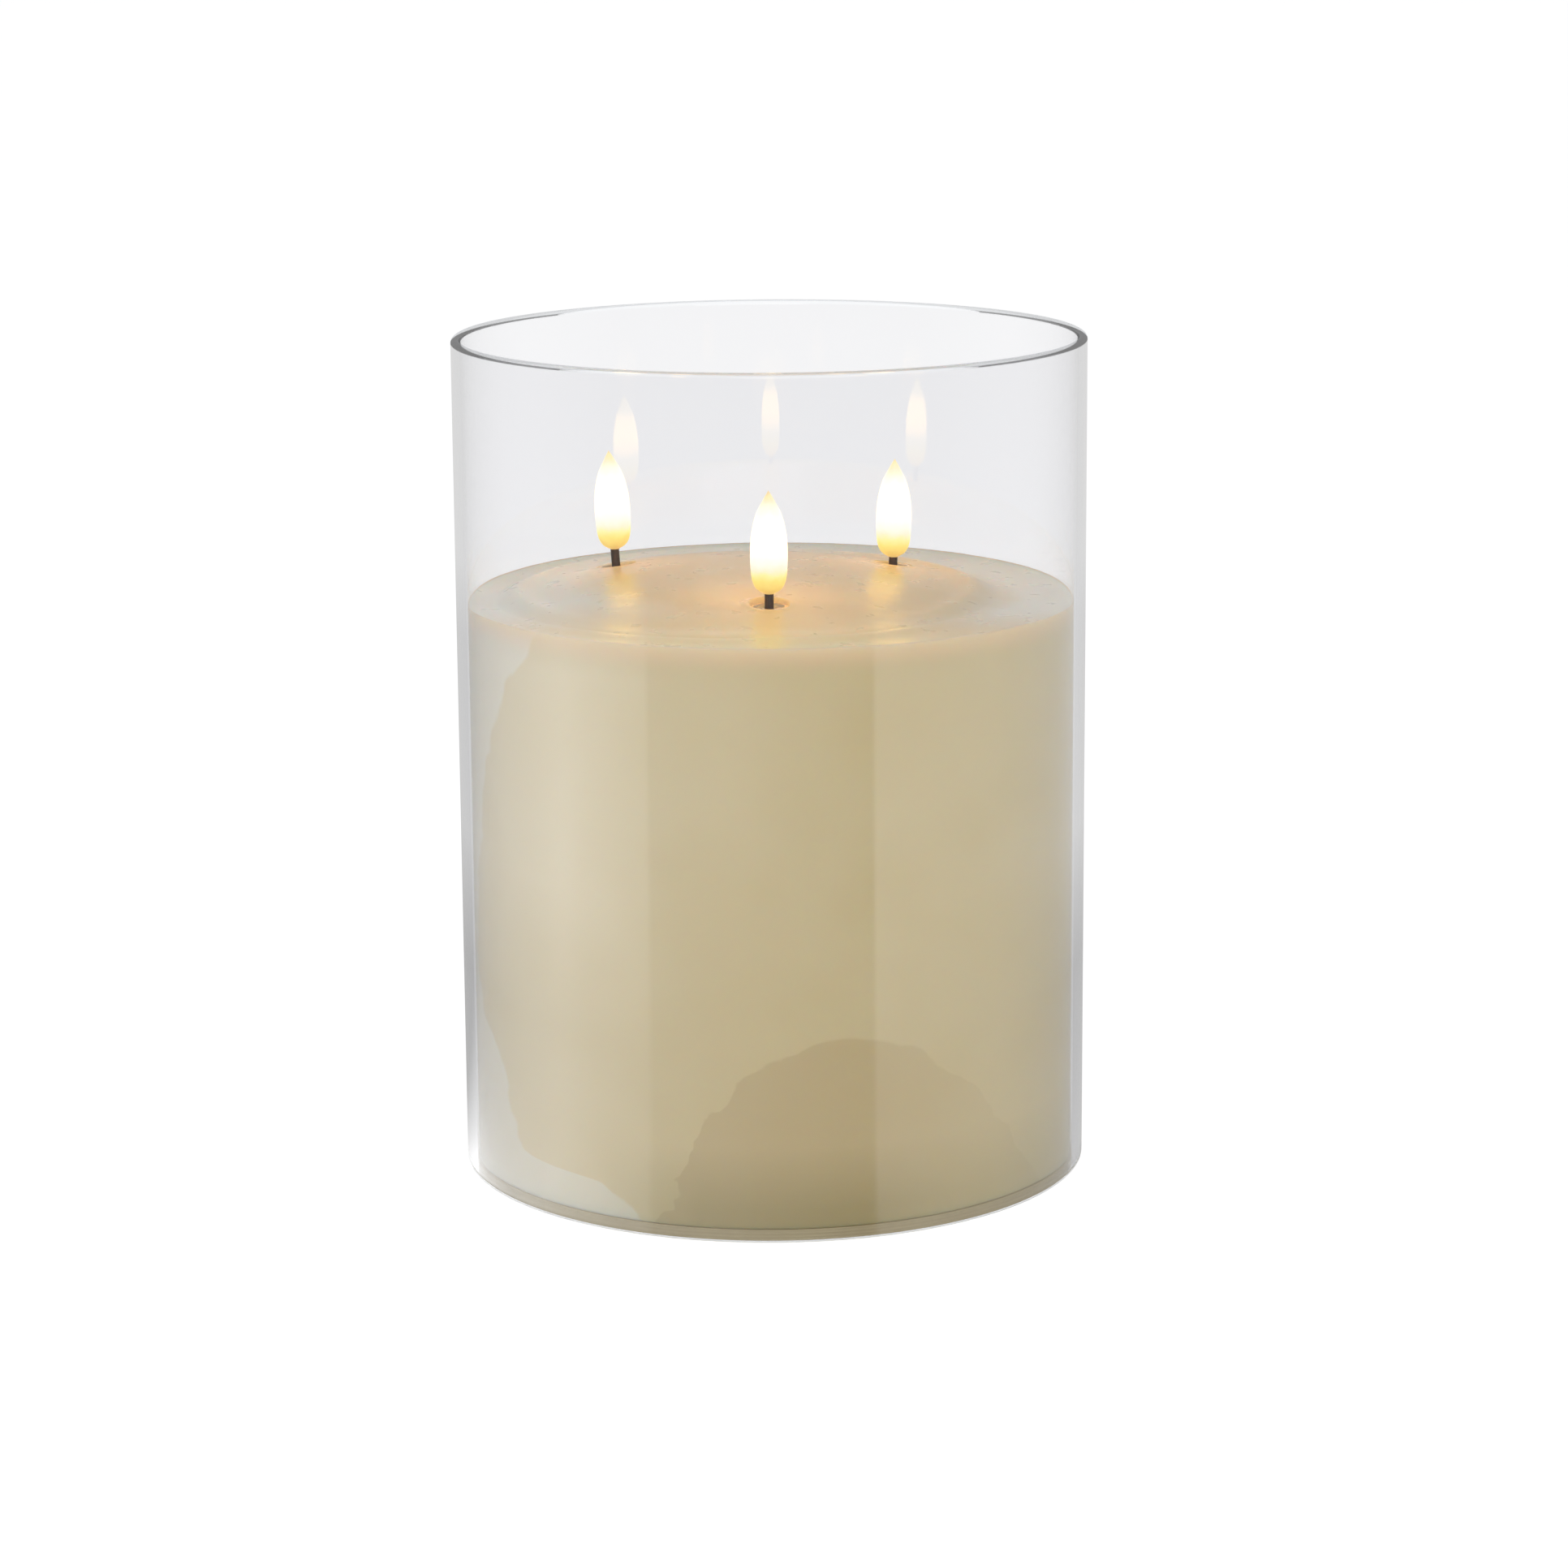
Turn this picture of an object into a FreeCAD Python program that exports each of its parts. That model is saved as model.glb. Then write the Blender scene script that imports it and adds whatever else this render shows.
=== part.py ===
import FreeCAD, Part
import math
import os
import re

import Sketcher

# Three-flame LED candle: wax cast round a plastic core, in a clear glass cylinder closed by a base plate.
# Millimetres, +Z up. The origin is the middle of the footprint, on the surface the candle stands on.

doc = FreeCAD.newDocument("LedCandle")

SIZES = {
    # glass cylinder
    "glass_radius": 75.0,
    "glass_height": 200.0,
    "glass_wall": 2.3,
    "glass_lift": 0.5,
    "rim_round": 1.1,
    "glass_foot_round": 0.4,
    # wax
    "wax_gap": 0.5,
    "wax_bottom": 3.1,
    "wax_corner": 3.5,
    "lip_height": 138.3,
    "lip_width": 0.7,
    "moat_height": 137.5,
    "dome_radius": 60.0,
    "dome_rise": 7.0,
    "dome_shift": -6.0,
    # core the wax is cast round
    "core_radius": 58.0,
    "core_wall": 1.8,
    "core_top": 128.0,
    "core_foot": 2.95,
    "flange_radius": 66.0,
    "flange_thick": 1.55,
    "cast_gap": 0.2,
    # base plate, seal and feet
    "plate_radius": 71.0,
    "plate_bottom": 0.9,
    "plate_thick": 2.0,
    "seal_height": 1.7,
    "pad_radius": 5.0,
    "pad_thick": 1.5,
    "pad_circle": 62.0,
    "screw_circle": 53.4,
    "boss_radius": 3.2,
    "boss_height": 12.0,
    "post_radius": 2.6,
    # screws that hold the base plate and the board
    "base_screw_head": 2.7,
    "base_screw_shank": 1.25,
    "base_screw_length": 9.0,
    "board_screw_head": 1.7,
    "board_screw_shank": 0.85,
    "board_screw_length": 5.0,
    "screw_play": 0.25,
    # battery bay and cells
    "cell_radius": 7.25,
    "cell_length": 50.5,
    "cell_pitch": 15.3,
    "cell_height": 10.6,
    "cap_radius": 2.75,
    "bay_middle": 15.0,
    "bay_length": 58.5,
    "bay_width": 46.5,
    "bay_wall": 1.5,
    "bay_top": 18.2,
    "sheet_thick": 0.4,
    "spring_radius": 3.6,
    "spring_wire": 0.4,
    "spring_turns": 3.0,
    # battery door
    "door_thick": 1.6,
    "door_gap": 0.25,
    "barrel_radius": 1.3,
    "hinge_pin": 0.8,
    "pin_length": 2.2,
    "running_gap": 0.08,
    # circuit board and switch
    "board_length": 48.0,
    "board_width": 28.0,
    "board_thick": 1.6,
    "board_bottom": 9.0,
    "board_middle": -28.0,
    "switch_travel": 4.0,
    "knob_length": 4.0,
    "knob_width": 3.0,
    "knob_bottom": 0.35,
    "switch_length": 14.0,
    "switch_width": 6.0,
    "switch_foot": 4.65,
    # lights
    "front_x": -0.4,
    "front_y": -36.4,
    "left_x": -37.6,
    "left_y": 17.5,
    "right_x": 29.9,
    "right_y": 21.5,
    "collar_radius": 4.3,
    "collar_sink": 0.6,
    "collar_bore": 1.6,
    "spigot_radius": 2.9,
    "stem_radius": 1.05,
    "stem_bore": 0.8,
    "stem_depth": 5.0,
    "stem_grip": 1.5,
    "stem_entry": 2.0,
    "stem_front": 3.0,
    "stem_left": 4.7,
    "stem_right": 2.4,
    "lean_front": 0.0,
    "lean_left": -3.75,
    "lean_right": 1.4,
    "flame_height": 24.0,
    "flame_radius": 4.3,
    "flame_wall": 0.8,
    "led_radius": 1.4,
    "led_length": 2.2,
    # wires
    "lead_radius": 0.5,
    "twin_radius": 0.3,
}

sheet = doc.addObject("Spreadsheet::Sheet", "sizes")
for row, (alias, amount) in enumerate(SIZES.items(), start=1):
    sheet.set("A%d" % row, alias)
    sheet.set("B%d" % row, str(amount))
    sheet.setAlias("B%d" % row, alias)
doc.recompute()

NODES = {}
UPRIGHT = FreeCAD.Rotation()
ALONG_X = FreeCAD.Rotation(FreeCAD.Vector(0, 1, 0), 90)
AGAINST_X = FreeCAD.Rotation(FreeCAD.Vector(0, 1, 0), -90)


# ---- shared helpers -------------------------------------------------------------------------------


def rule(text):
    """A rule such as "core_radius - core_wall" as a sheet expression. Every alias has an underscore."""
    return re.sub(r"[a-z]+(?:_[a-z]+)+", lambda found: "sizes." + found.group(0), str(text))


def number(text):
    """What a rule gives with the sheet as it is now."""
    found = sheet.evalExpression(rule(text))
    return float(getattr(found, "Value", found))


def bind(item, **rules):
    for name, text in rules.items():
        item.setExpression(name, rule(text))


def place(item, x=0, y=0, z=0, turn=UPRIGHT):
    item.Placement = FreeCAD.Placement(FreeCAD.Vector(), turn)
    for letter, text in zip("xyz", (x, y, z)):
        item.setExpression("Placement.Base." + letter, rule(text))
    return item


def keep(label, item):
    """Names a finished sub-part, which is written to its own file."""
    item.Label = label
    NODES[label] = item
    return item


def cylinder(radius, height, x=0, y=0, z=0, turn=UPRIGHT):
    item = doc.addObject("Part::Cylinder", "Cylinder")
    bind(item, Radius=radius, Height=height)
    return place(item, x, y, z, turn)


def box(length, width, height, x=0, y=0, z=0):
    """A box centred on x and y, standing on z."""
    item = doc.addObject("Part::Box", "Box")
    bind(item, Length=length, Width=width, Height=height)
    return place(item, "%s - (%s) / 2" % (x, length), "%s - (%s) / 2" % (y, width), z)


def fuse(*shapes):
    item = doc.addObject("Part::MultiFuse", "Fuse")
    item.Shapes = list(shapes)
    item.Refine = True
    return item


def cut(base, *tools):
    item = doc.addObject("Part::Cut", "Cut")
    item.Base = base
    item.Tool = fuse(*tools) if len(tools) > 1 else tools[0]
    item.Refine = True
    return item


def group(shapes):
    """Identical separate solids that share one node."""
    item = doc.addObject("Part::Compound", "Group")
    item.Links = list(shapes)
    return item


def ring(outer, inner, height, z):
    return cut(cylinder(outer, height, z=z), cylinder(inner, height, z=z))


def around(count, radius, start=0):
    """Places evenly spaced on a circle, as rules for x and y."""
    for step in range(count):
        angle = start + 360 * step / count
        yield "(%s) * cos(%s)" % (radius, angle), "(%s) * sin(%s)" % (radius, angle)


def pin_point(sketch, geometry, end, x, y):
    """Holds a sketch point with dimensions bound to the sheet, or on an axis where the rule is 0."""
    for kind, axis, text in (("DistanceX", -2, x), ("DistanceY", -1, y)):
        if text == 0:
            sketch.addConstraint(Sketcher.Constraint("PointOnObject", geometry, end, axis))
            continue
        place_at = Sketcher.Constraint(kind, -1, 1, geometry, end, number(text))
        index = sketch.addConstraint(place_at)
        sketch.setExpression("Constraints[%d]" % index, rule(text))


def outline(body, corners):
    """A closed outline in the XZ plane. A corner is (x, z), or (x, z, via x, via z) where an arc starts."""
    sketch = body.newObject("Sketcher::SketchObject", "Outline")
    plane = next(item for item in body.Origin.OriginFeatures if item.Role == "XZ_Plane")
    sketch.AttachmentSupport = (plane, [""])
    sketch.MapMode = "FlatFace"
    spots = [FreeCAD.Vector(number(corner[0]), number(corner[1]), 0) for corner in corners]
    ends = []
    for index, corner in enumerate(corners):
        start, stop = spots[index], spots[(index + 1) % len(spots)]
        if len(corner) == 2:
            sketch.addGeometry(Part.LineSegment(start, stop))
            ends.append((1, 2))
            continue
        via = FreeCAD.Vector(number(corner[2]), number(corner[3]), 0)
        edge = sketch.addGeometry(Part.Arc(start, via, stop))
        first, second = (sketch.getPoint(edge, end).distanceToPoint(start) for end in (1, 2))
        ends.append((2, 1) if first > second else (1, 2))
    for index, (start_end, stop_end) in enumerate(ends):
        following = (index + 1) % len(ends)
        joined = Sketcher.Constraint("Coincident", index, stop_end, following, ends[following][0])
        sketch.addConstraint(joined)
    for index, corner in enumerate(corners):
        pin_point(sketch, index, ends[index][0], corner[0], corner[1])
    for index, corner in enumerate(corners):
        if len(corner) == 4:
            via = FreeCAD.Vector(number(corner[2]), number(corner[3]), 0)
            mark = sketch.addGeometry(Part.Point(via), True)
            pin_point(sketch, mark, 1, corner[2], corner[3])
            sketch.addConstraint(Sketcher.Constraint("PointOnObject", mark, 1, index))
    return sketch


def turned(corners):
    """A body turned from an outline of (radius, height) corners about its own Z axis."""
    body = doc.addObject("PartDesign::Body", "Turned")
    sketch = outline(body, corners)
    turn = body.newObject("PartDesign::Revolution", "Turn")
    turn.Profile = sketch
    turn.ReferenceAxis = (sketch, ["V_Axis"])
    turn.Angle = 360
    body.Tip = turn
    return body


def round_edges(body, radius, picked):
    """Rounds the circular edges of a turned body that the test picks by their radius and height."""
    doc.recompute()
    last = body.Tip
    names = []
    for index, edge in enumerate(last.Shape.Edges, start=1):
        if edge.Degenerated or not isinstance(edge.Curve, Part.Circle):
            continue
        if picked(edge.Curve.Radius, edge.Curve.Center.z):
            names.append("Edge%d" % index)
    rounded = body.newObject("PartDesign::Fillet", "Rounded")
    rounded.Base = (last, names)
    bind(rounded, Radius=radius)
    body.Tip = rounded
    return body


def solid(shape):
    """A finished shape that sketches and primitives don't give. Its sizes come from the sheet."""
    item = doc.addObject("Part::Feature", "Shape")
    item.Shape = shape
    return item


# ---- glass and wax --------------------------------------------------------------------------------


def near(a, b):
    return abs(a - b) < 0.01


def make_glass():
    inner = "glass_radius - glass_wall"
    body = turned(
        [
            (inner, "glass_lift"),
            ("glass_radius", "glass_lift"),
            ("glass_radius", "glass_height"),
            (inner, "glass_height"),
        ]
    )
    top = number("glass_height")
    round_edges(body, "rim_round", lambda radius, height: near(height, top))
    round_edges(body, "glass_foot_round", lambda radius, height: height < top / 2)
    keep("glass_cylinder", body)


# Radius of the ball that the dome is a cap of, from the cap's own radius and rise.
DOME_BALL = "((dome_radius^2 + dome_rise^2) / (2 * dome_rise))"


def wax_height(distance_squared):
    """Rule for the height of the domed wax at a squared distance from the dome's middle."""
    return "moat_height + dome_rise - %s + sqrt(%s^2 - (%s))" % (DOME_BALL, DOME_BALL, distance_squared)


def make_dome():
    """The raised middle of the wax, off centre as it set. Its foot reaches into the fill below."""
    foot = "(dome_rise + 1)"
    foot_radius = "sqrt(2 * %s * %s - %s^2)" % (DOME_BALL, foot, foot)
    dome = turned(
        [
            (0, "moat_height - 1"),
            (foot_radius, "moat_height - 1", "dome_radius / 2", wax_height("(dome_radius / 2)^2")),
            (0, "moat_height + dome_rise"),
        ]
    )
    return place(dome, x="dome_shift")


def make_wax(lights):
    outer = "glass_radius - glass_wall - wax_gap"
    inside = "core_radius + cast_gap"
    ledge = "flange_radius + cast_gap"
    flange_top = "core_foot + flange_thick + cast_gap"
    body = turned(
        [
            (ledge, "wax_bottom"),
            (outer, "wax_bottom"),
            (outer, "lip_height"),
            (outer + " - lip_width", "lip_height"),
            (outer + " - 3 * lip_width", "moat_height"),
            (0, "moat_height"),
            (0, "core_top + cast_gap"),
            (inside, "core_top + cast_gap"),
            (inside, flange_top),
            (ledge, flange_top),
        ]
    )
    side = number(outer)
    floor = number("wax_bottom")
    round_edges(body, "wax_corner", lambda radius, height: near(radius, side) and near(height, floor))
    wells = [
        cylinder("collar_radius + cast_gap / 2", "dome_rise * 4", light["x"], light["y"], "core_top - 1")
        for light in lights
    ]
    keep("wax_body", cut(fuse(body, make_dome()), *wells))


# ---- core the wax is cast round -------------------------------------------------------------------


def make_core(lights):
    inside = "core_radius - core_wall"
    shell = turned(
        [
            (inside, "core_foot"),
            ("flange_radius", "core_foot"),
            ("flange_radius", "core_foot + flange_thick"),
            ("core_radius", "core_foot + flange_thick"),
            ("core_radius", "core_top"),
            (0, "core_top"),
            (0, "core_top - core_wall"),
            (inside, "core_top - core_wall"),
        ]
    )
    bosses = [
        cylinder("boss_radius", "boss_height", x, y, "core_foot") for x, y in around(4, "screw_circle")
    ]
    sockets = [
        cylinder("spigot_radius + 1.4", "core_wall + 4", light["x"], light["y"], "core_top - core_wall - 4")
        for light in lights
    ]
    pilots = [
        cylinder("base_screw_shank + 0.05", "boss_height - 2", x, y, "core_foot - 0.5")
        for x, y in around(4, "screw_circle")
    ]
    bores = [
        cylinder("spigot_radius + 0.1", "core_wall + 8", light["x"], light["y"], "core_top - core_wall - 6")
        for light in lights
    ]
    keep("core_housing", cut(fuse(shell, *bosses, *sockets), *pilots, *bores))


# ---- base plate, seal and feet --------------------------------------------------------------------

PLATE_TOP = "plate_bottom + plate_thick"
BAY_OUTSIDE = "bay_length + 2 * bay_wall"
BAY_DEPTH = "bay_width + 2 * bay_wall"
HINGE_Y = "bay_middle + bay_width / 2 + bay_wall - door_gap - barrel_radius"
HINGE_Z = "plate_bottom + barrel_radius"
SLOT_LENGTH = "knob_length + switch_travel + 0.4"
BOARD_POSTS = (("-20", "board_middle - 10"), ("20", "board_middle - 10"), ("0", "board_middle + 10.5"))


def symbol_marks():
    """Shallow signs beside the switch: a bar for on, a ring for off and a ring with a hand for timer."""
    depth = 0.25
    row = "board_middle - 5"
    half = "switch_travel / 2"
    on_bar = box(0.5, 2.2, depth, x=half, y=row, z="plate_bottom")
    marks = [on_bar]
    for x in ("0", "0 - " + half):
        outer = cylinder("1.1", depth, x, row, "plate_bottom")
        marks.append(cut(outer, cylinder("0.7", depth, x, row, "plate_bottom")))
    marks.append(box(0.35, 0.9, depth, x="0 - " + half, y=row + " + 0.4", z="plate_bottom"))
    return marks


def contact_slots():
    """Slots in the bay roof that the two end contacts' solder tabs come up through."""
    across = "bay_length / 2 - 0.25"
    return [
        box(1.2, 3.8, "bay_wall + 2", "0 - (%s)" % across, "bay_middle - cell_pitch", "bay_top - 1"),
        box(1.2, 3.8, "bay_wall + 2", across, "bay_middle + cell_pitch", "bay_top - 1"),
    ]


def make_base_plate():
    disc = cylinder("plate_radius", "plate_thick", z="plate_bottom")
    tray = box(BAY_OUTSIDE, BAY_DEPTH, "bay_top + bay_wall - (%s) + 0.5" % PLATE_TOP, 0, "bay_middle",
               "%s - 0.5" % PLATE_TOP)
    ear_x = "bay_length / 2 + bay_wall + 1.8"
    ears = [
        box(3.6, "2 * barrel_radius + 1.6", 1.8, side + "(%s)" % ear_x, HINGE_Y, "%s - 0.4" % PLATE_TOP)
        for side in ("", "0 - ")
    ]
    posts = [
        cylinder("post_radius", "board_bottom - (%s) + 0.5" % PLATE_TOP, x, y, "%s - 0.5" % PLATE_TOP)
        for x, y in BOARD_POSTS
    ]
    guides = [
        box("switch_length + 1", 0.8, 1.8, 0, "board_middle + %s" % offset, "%s - 0.5" % PLATE_TOP)
        for offset in ("switch_width / 2 + 1", "(0 - switch_width / 2 - 1)")
    ]
    bay = box("bay_length", "bay_width", "bay_top", 0, "bay_middle", 0)
    rebate = box(BAY_OUTSIDE, BAY_DEPTH, "door_thick + door_gap + 1", 0, "bay_middle", "plate_bottom - 1")
    barrel_room = box(BAY_OUTSIDE, "2 * barrel_radius + 2 * door_gap", "2 * barrel_radius + door_gap + 1",
                      0, HINGE_Y, "plate_bottom - 1")
    pin_bore = cylinder("hinge_pin + running_gap", "%s + 2 * pin_length + 0.6" % BAY_OUTSIDE,
                        "0 - (%s) / 2 - pin_length - 0.3" % BAY_OUTSIDE, HINGE_Y, HINGE_Z, ALONG_X)
    nail_notch = cylinder("7", "1.2", 0, "bay_middle - (%s) / 2 - 1" % BAY_DEPTH, "plate_bottom - 0.1")
    knob_slot = box(
        SLOT_LENGTH, "knob_width + 0.4", "plate_thick + 1", 0, "board_middle", "plate_bottom - 0.5"
    )
    screw_holes = []
    for x, y in around(4, "screw_circle"):
        through = cylinder("base_screw_shank + screw_play", "plate_thick + 1", x, y, "plate_bottom - 0.5")
        head_room = cylinder("base_screw_head + 0.3", "1.2", x, y, "plate_bottom - 0.1")
        screw_holes += [through, head_room]
    pad_seats = [cylinder("pad_radius + 0.1", "0.7", x, y, "plate_bottom - 0.1")
                 for x, y in around(4, "pad_circle", 45)]
    pilots = [
        cylinder("board_screw_shank + 0.1", "4", x, y, "board_bottom - 3.9") for x, y in BOARD_POSTS[:2]
    ]
    whole = fuse(disc, tray, *ears, *posts, *guides)
    hinge_cuts = [rebate, barrel_room, pin_bore, nail_notch]
    small_cuts = [*screw_holes, *pad_seats, *pilots, *contact_slots(), *symbol_marks()]
    keep("base_plate", cut(whole, bay, *hinge_cuts, knob_slot, *small_cuts))


def make_seal_and_feet():
    seal_inner = "plate_radius + 0.05"
    seal_outer = "glass_radius - glass_wall - 0.05"
    keep("base_seal", ring(seal_outer, seal_inner, "seal_height", "plate_bottom + 0.15"))
    pads = [cylinder("pad_radius", "pad_thick", x, y, 0) for x, y in around(4, "pad_circle", 45)]
    keep("foot_pads", group(pads))


def screw(kind, head_height, recess):
    """A pan-head screw about its own Z axis, its head below z 0 and its shank above."""
    head, shank, length = (kind + part for part in ("_screw_head", "_screw_shank", "_screw_length"))
    body = turned(
        [
            (0, "0 - %s" % head_height),
            ("%s - 0.3" % head, "0 - %s" % head_height),
            (head, "0 - %s + 0.4" % head_height),
            (head, 0),
            (shank, 0),
            (shank, "%s - 0.8" % length),
            (0, length),
        ]
    )
    cross = [
        box(recess, 0.5, 0.6, 0, 0, "0 - %s" % head_height),
        box(0.5, recess, 0.6, 0, 0, "0 - %s" % head_height),
    ]
    return cut(body, *cross)


def copies(master, places, turn=UPRIGHT):
    """Separate solids with the master's shape, each at its own place."""
    made = []
    for x, y, z in places:
        item = doc.addObject("Part::Compound", "Copy")
        item.Links = [master]
        made.append(place(item, x, y, z, turn))
    return made


def make_screws():
    base_screw = screw("base", "1.0", "2.8")
    spots = [(x, y, "plate_bottom + 1.1") for x, y in around(4, "screw_circle")]
    keep("base_screws", group(copies(base_screw, spots)))
    board_screw = screw("board", "0.9", "2.0")
    spots = [(x, y, "board_bottom + board_thick + 0.02") for x, y in BOARD_POSTS[:2]]
    upside_down = FreeCAD.Rotation(FreeCAD.Vector(1, 0, 0), 180)
    keep("board_screws", group(copies(board_screw, spots, upside_down)))


# ---- battery door, cells and contacts -------------------------------------------------------------


def make_door():
    length = "%s - 2 * door_gap" % BAY_OUTSIDE
    front = "bay_middle - (%s) / 2 + door_gap" % BAY_DEPTH
    depth = "(%s) - (%s)" % (HINGE_Y, front)
    middle = "((%s) + (%s)) / 2" % (HINGE_Y, front)
    panel = box(length, depth, "door_thick", 0, middle, "plate_bottom")
    start = "0 - (%s) / 2" % length
    barrel = cylinder("barrel_radius", length, start, HINGE_Y, HINGE_Z, ALONG_X)
    pin_whole = "%s + 2 * pin_length" % length
    pin = cylinder("hinge_pin", pin_whole, start + " - pin_length", HINGE_Y, HINGE_Z, ALONG_X)
    snaps = [
        cylinder("1", "door_thick", x, front + " + 0.8", "plate_bottom")
        for x in ("bay_length / 4", "0 - bay_length / 4")
    ]
    door_top = "plate_bottom + door_thick"
    ribs = [
        box("bay_length - 8", 1.2, 0.8, 0, "bay_middle + %s * cell_pitch" % step, door_top + " - 0.1")
        for step in ("0.5", "(0 - 0.5)")
    ]
    grips = [
        box(16, 0.8, 0.8, 0, front + " + 4 + 1.8 * %d" % step, "plate_bottom - 0.4") for step in range(3)
    ]
    keep("battery_door", cut(fuse(panel, barrel, pin, *snaps, *ribs), *grips))


def make_cell(label, step, turn, start):
    """An AA cell about its own Z axis, flat end at 0, laid along X in its place in the bay."""
    body = turned(
        [
            (0, 0.4),
            ("cell_radius - 2.6", 0.4),
            ("cell_radius - 2.4", 0),
            ("cell_radius - 0.6", 0),
            ("cell_radius", 0.6),
            ("cell_radius", "cell_length - 2.2"),
            ("cell_radius - 0.6", "cell_length - 1.6"),
            ("cell_radius - 1.2", "cell_length - 1.8"),
            ("cell_radius - 3.4", "cell_length - 1.8"),
            ("cap_radius", "cell_length - 1.2"),
            ("cap_radius", "cell_length - 0.3"),
            ("cap_radius - 0.45", "cell_length"),
            (0, "cell_length"),
        ]
    )
    keep(label, place(body, start, "bay_middle + %s * cell_pitch" % step, "cell_height", turn))


CONTACT_FACE = "bay_length / 2 - 0.05 - sheet_thick"
DIMPLE = 0.9
CELL_TIP = "%s - %s - 0.1" % (CONTACT_FACE, DIMPLE)


def make_cells():
    for label, step, plus_side in (("cell_front", -1, -1), ("cell_middle", 0, 1), ("cell_back", 1, -1)):
        turn = ALONG_X if plus_side > 0 else AGAINST_X
        start = "%d * (%s - cell_length)" % (plus_side, CELL_TIP)
        make_cell(label, "(%d)" % step, turn, start)


def sheet_x(side):
    return "%d * (bay_length / 2 - 0.05 - sheet_thick / 2)" % side


def contact_sheet(side, y, width):
    return box("sheet_thick", width, 11, sheet_x(side), y, "cell_height - 5.5")


def contact_dimple(side, y):
    start = "%d * (%s + 0.05)" % (side, CONTACT_FACE)
    turn = ALONG_X if side < 0 else AGAINST_X
    return cylinder("1.8", DIMPLE + 0.05, start, y, "cell_height", turn)


def solder_tab(side, y):
    return box("sheet_thick", 3.2, "bay_top - cell_height + 0.5", sheet_x(side), y, "cell_height + 5")


def make_contacts():
    front, middle, back = "(bay_middle - cell_pitch)", "(bay_middle)", "(bay_middle + cell_pitch)"
    one = 9
    pair = "cell_pitch + %s" % one
    right = contact_sheet(1, "bay_middle - cell_pitch / 2", pair)
    left = contact_sheet(-1, "bay_middle + cell_pitch / 2", pair)
    positive = contact_sheet(-1, front, one)
    keep("contact_positive", fuse(positive, contact_dimple(-1, front), solder_tab(-1, front)))
    keep("contact_negative", fuse(contact_sheet(1, back, one), solder_tab(1, back)))
    keep("contact_bridge_right", fuse(right, contact_dimple(1, middle)))
    keep("contact_bridge_left", fuse(left, contact_dimple(-1, back)))


def coil(radius, rise, turns, wire):
    """A round wire wound about the Z axis."""
    steps = 16 * turns
    points = []
    for step in range(steps + 1):
        angle = 2 * math.pi * turns * step / steps
        points.append(FreeCAD.Vector(radius * math.cos(angle), radius * math.sin(angle), rise * step / steps))
    curve = Part.BSplineCurve()
    curve.interpolate(points)
    start = curve.tangent(curve.FirstParameter)[0]
    section = Part.Wire(Part.Circle(points[0], start, wire).toShape())
    return Part.Wire(curve.toShape()).makePipeShell([section], True, True)


def make_spring(label, side, step):
    """A contact spring between a bay end and a cell's flat end, as wound at its fitted length."""
    gap = number("2 * (%s) - %s - 0.1 - cell_length" % (CONTACT_FACE, DIMPLE))
    wire = number("spring_wire")
    spring = solid(coil(number("spring_radius"), gap - 2 * wire - 0.3, int(number("spring_turns")), wire))
    turn = ALONG_X if side < 0 else AGAINST_X
    x = "%d * (%s - spring_wire - 0.15)" % (side, CONTACT_FACE)
    keep(label, place(spring, x, "bay_middle + (%d) * cell_pitch" % step, "cell_height", turn))


def make_springs():
    make_spring("spring_front", 1, -1)
    make_spring("spring_middle", -1, 0)
    make_spring("spring_back", 1, 1)


# ---- circuit board and switch ---------------------------------------------------------------------

BOARD_TOP = "board_bottom + board_thick"


def make_board():
    board = box("board_length", "board_width", "board_thick", 0, "board_middle", "board_bottom")
    holes = [
        cylinder("board_screw_shank + screw_play", "board_thick + 1", x, y, "board_bottom - 0.5")
        for x, y in BOARD_POSTS[:2]
    ]
    keep("circuit_board", cut(board, *holes))


def make_chip():
    """An eight-pin surface-mount package. Each pin is a foot on the board with a short upright."""
    x = -6
    length, width, height = 4.9, 3.9, 1.4
    pitch = 1.27
    pieces = [box(length, width, height, x, "board_middle", "%s + 0.2" % BOARD_TOP)]
    for step in (-1.5, -0.5, 0.5, 1.5):
        for side in ("", "0 - "):
            pin_x = x + pitch * step
            pieces.append(box(0.45, 1.1, 0.25, pin_x, "board_middle + (%s2.3)" % side, BOARD_TOP))
            pieces.append(box(0.45, 0.3, 0.7, pin_x, "board_middle + (%s2.0)" % side, BOARD_TOP))
    keep("controller_chip", fuse(*pieces))


def make_board_parts():
    make_chip()
    keep("timer_crystal", cylinder("1.0", 6, 3, "board_middle + 3", "%s + 1.05" % BOARD_TOP, ALONG_X))
    keep("capacitor", cylinder("2.5", 7, 16, "board_middle", "%s + 0.05" % BOARD_TOP))
    keep("resistors", group([box(2, 1.25, 0.5, x, "board_middle - 6", BOARD_TOP) for x in (-1, 3, 7, 11)]))
    transistors = [box(2.9, 1.5, 1.1, x, "board_middle + 8", BOARD_TOP) for x in (-13, -5.2, 13)]
    keep("drive_transistors", group(transistors))


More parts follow.
